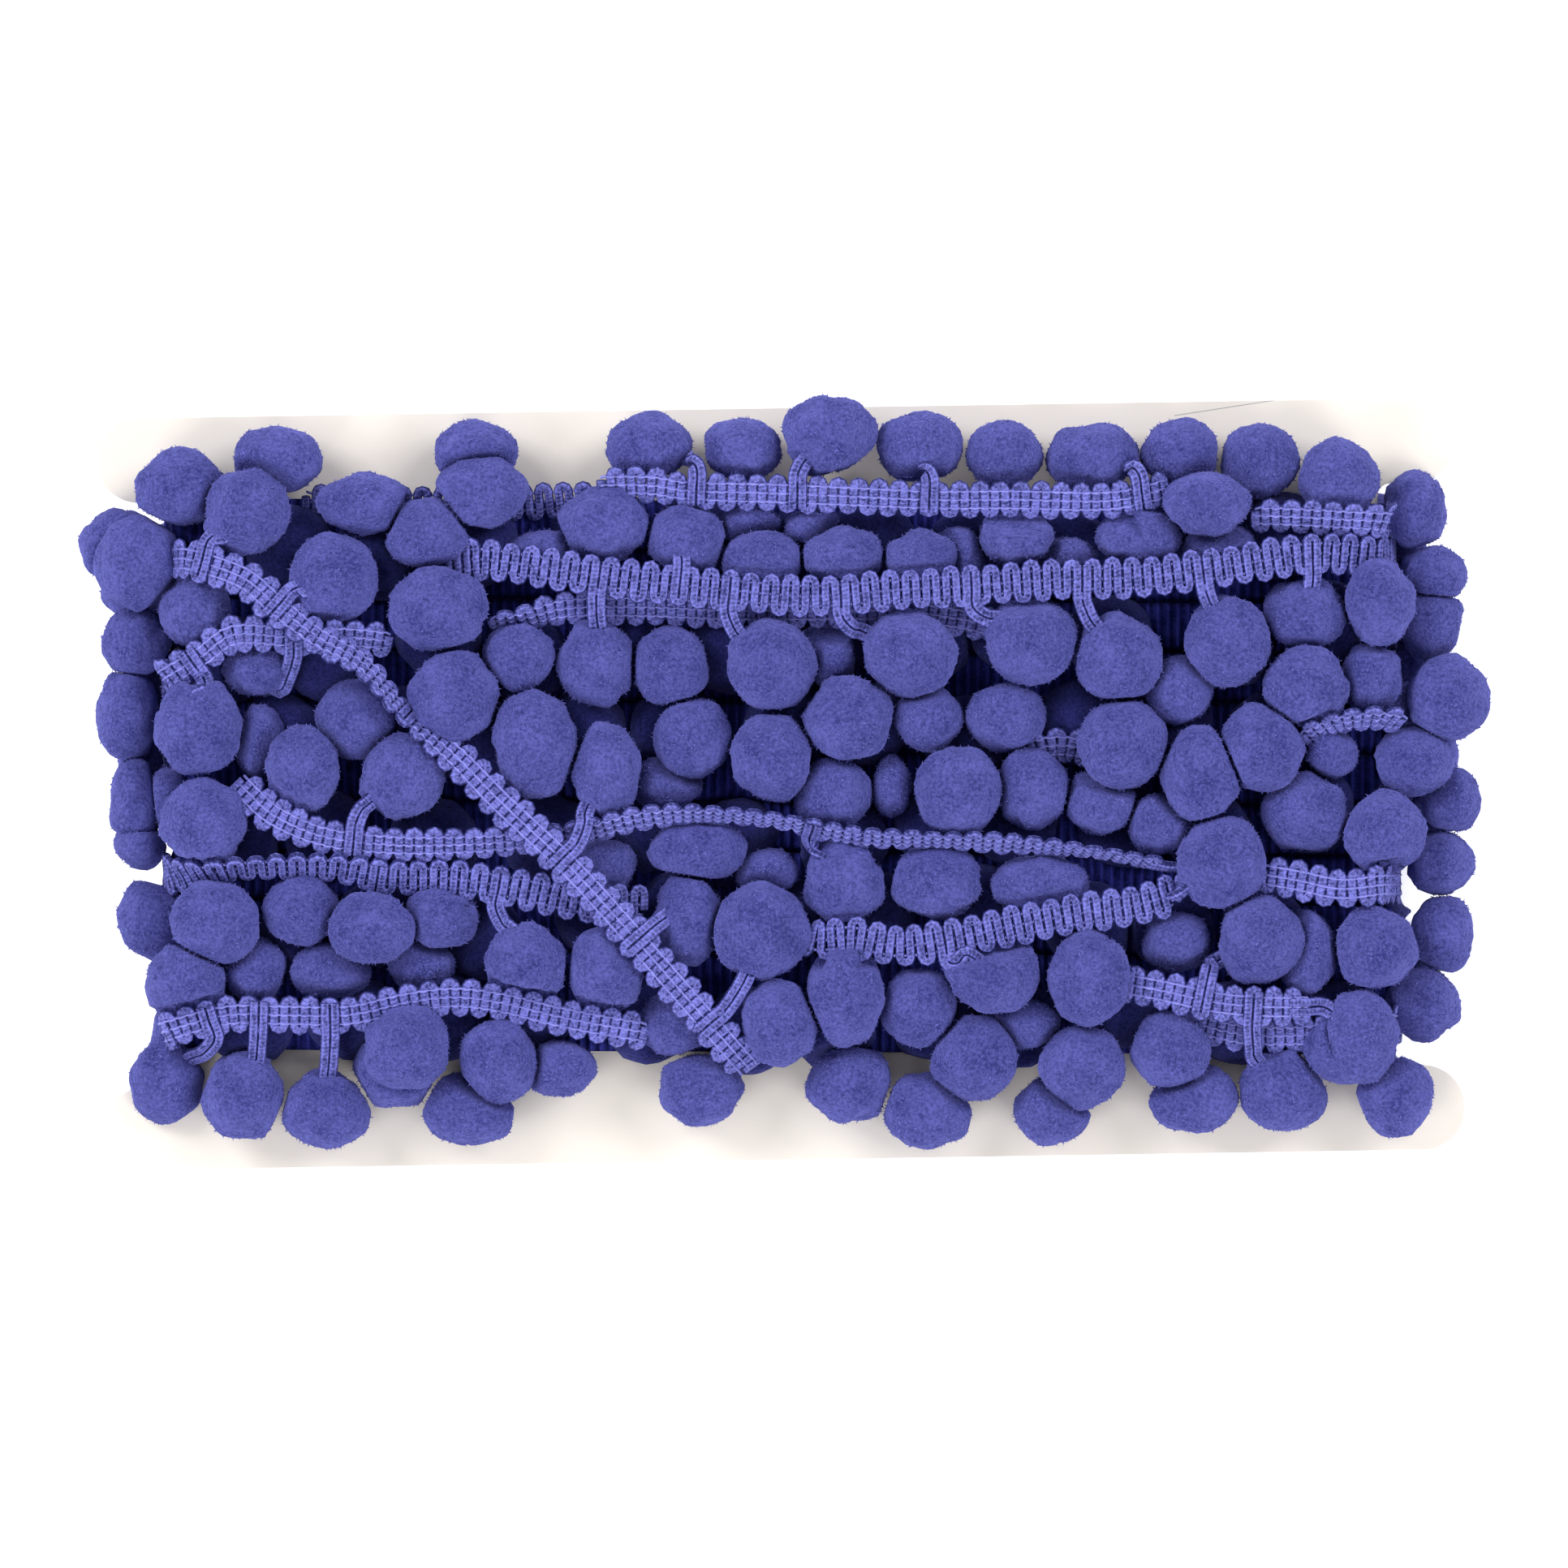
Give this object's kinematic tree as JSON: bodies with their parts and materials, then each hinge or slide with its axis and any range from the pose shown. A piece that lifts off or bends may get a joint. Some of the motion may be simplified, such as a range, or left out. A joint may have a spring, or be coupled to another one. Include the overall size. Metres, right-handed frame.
{
  "type": "pompom fringe trim wound on a card",
  "caption": "Pompom fringe trim: a narrow braid hung with plush pompoms on short legs, wound in a deep pile round the waist of a flat card with round-ended tabs.",
  "frame": {"origin": "under the middle of the part, on the surface that it rests on", "axes": "+X to the card's right, +Y to its top and +Z out of its front, so that the part lies on its back"},
  "size_m": [0.1575, 0.0856, 0.0291],
  "materials": {
    "plush": "matte",
    "card_board": "matte"
  },
  "bodies": {
    "root": {"card": "card_board", "wound_trim": "plush"}
  },
  "joints": []
}
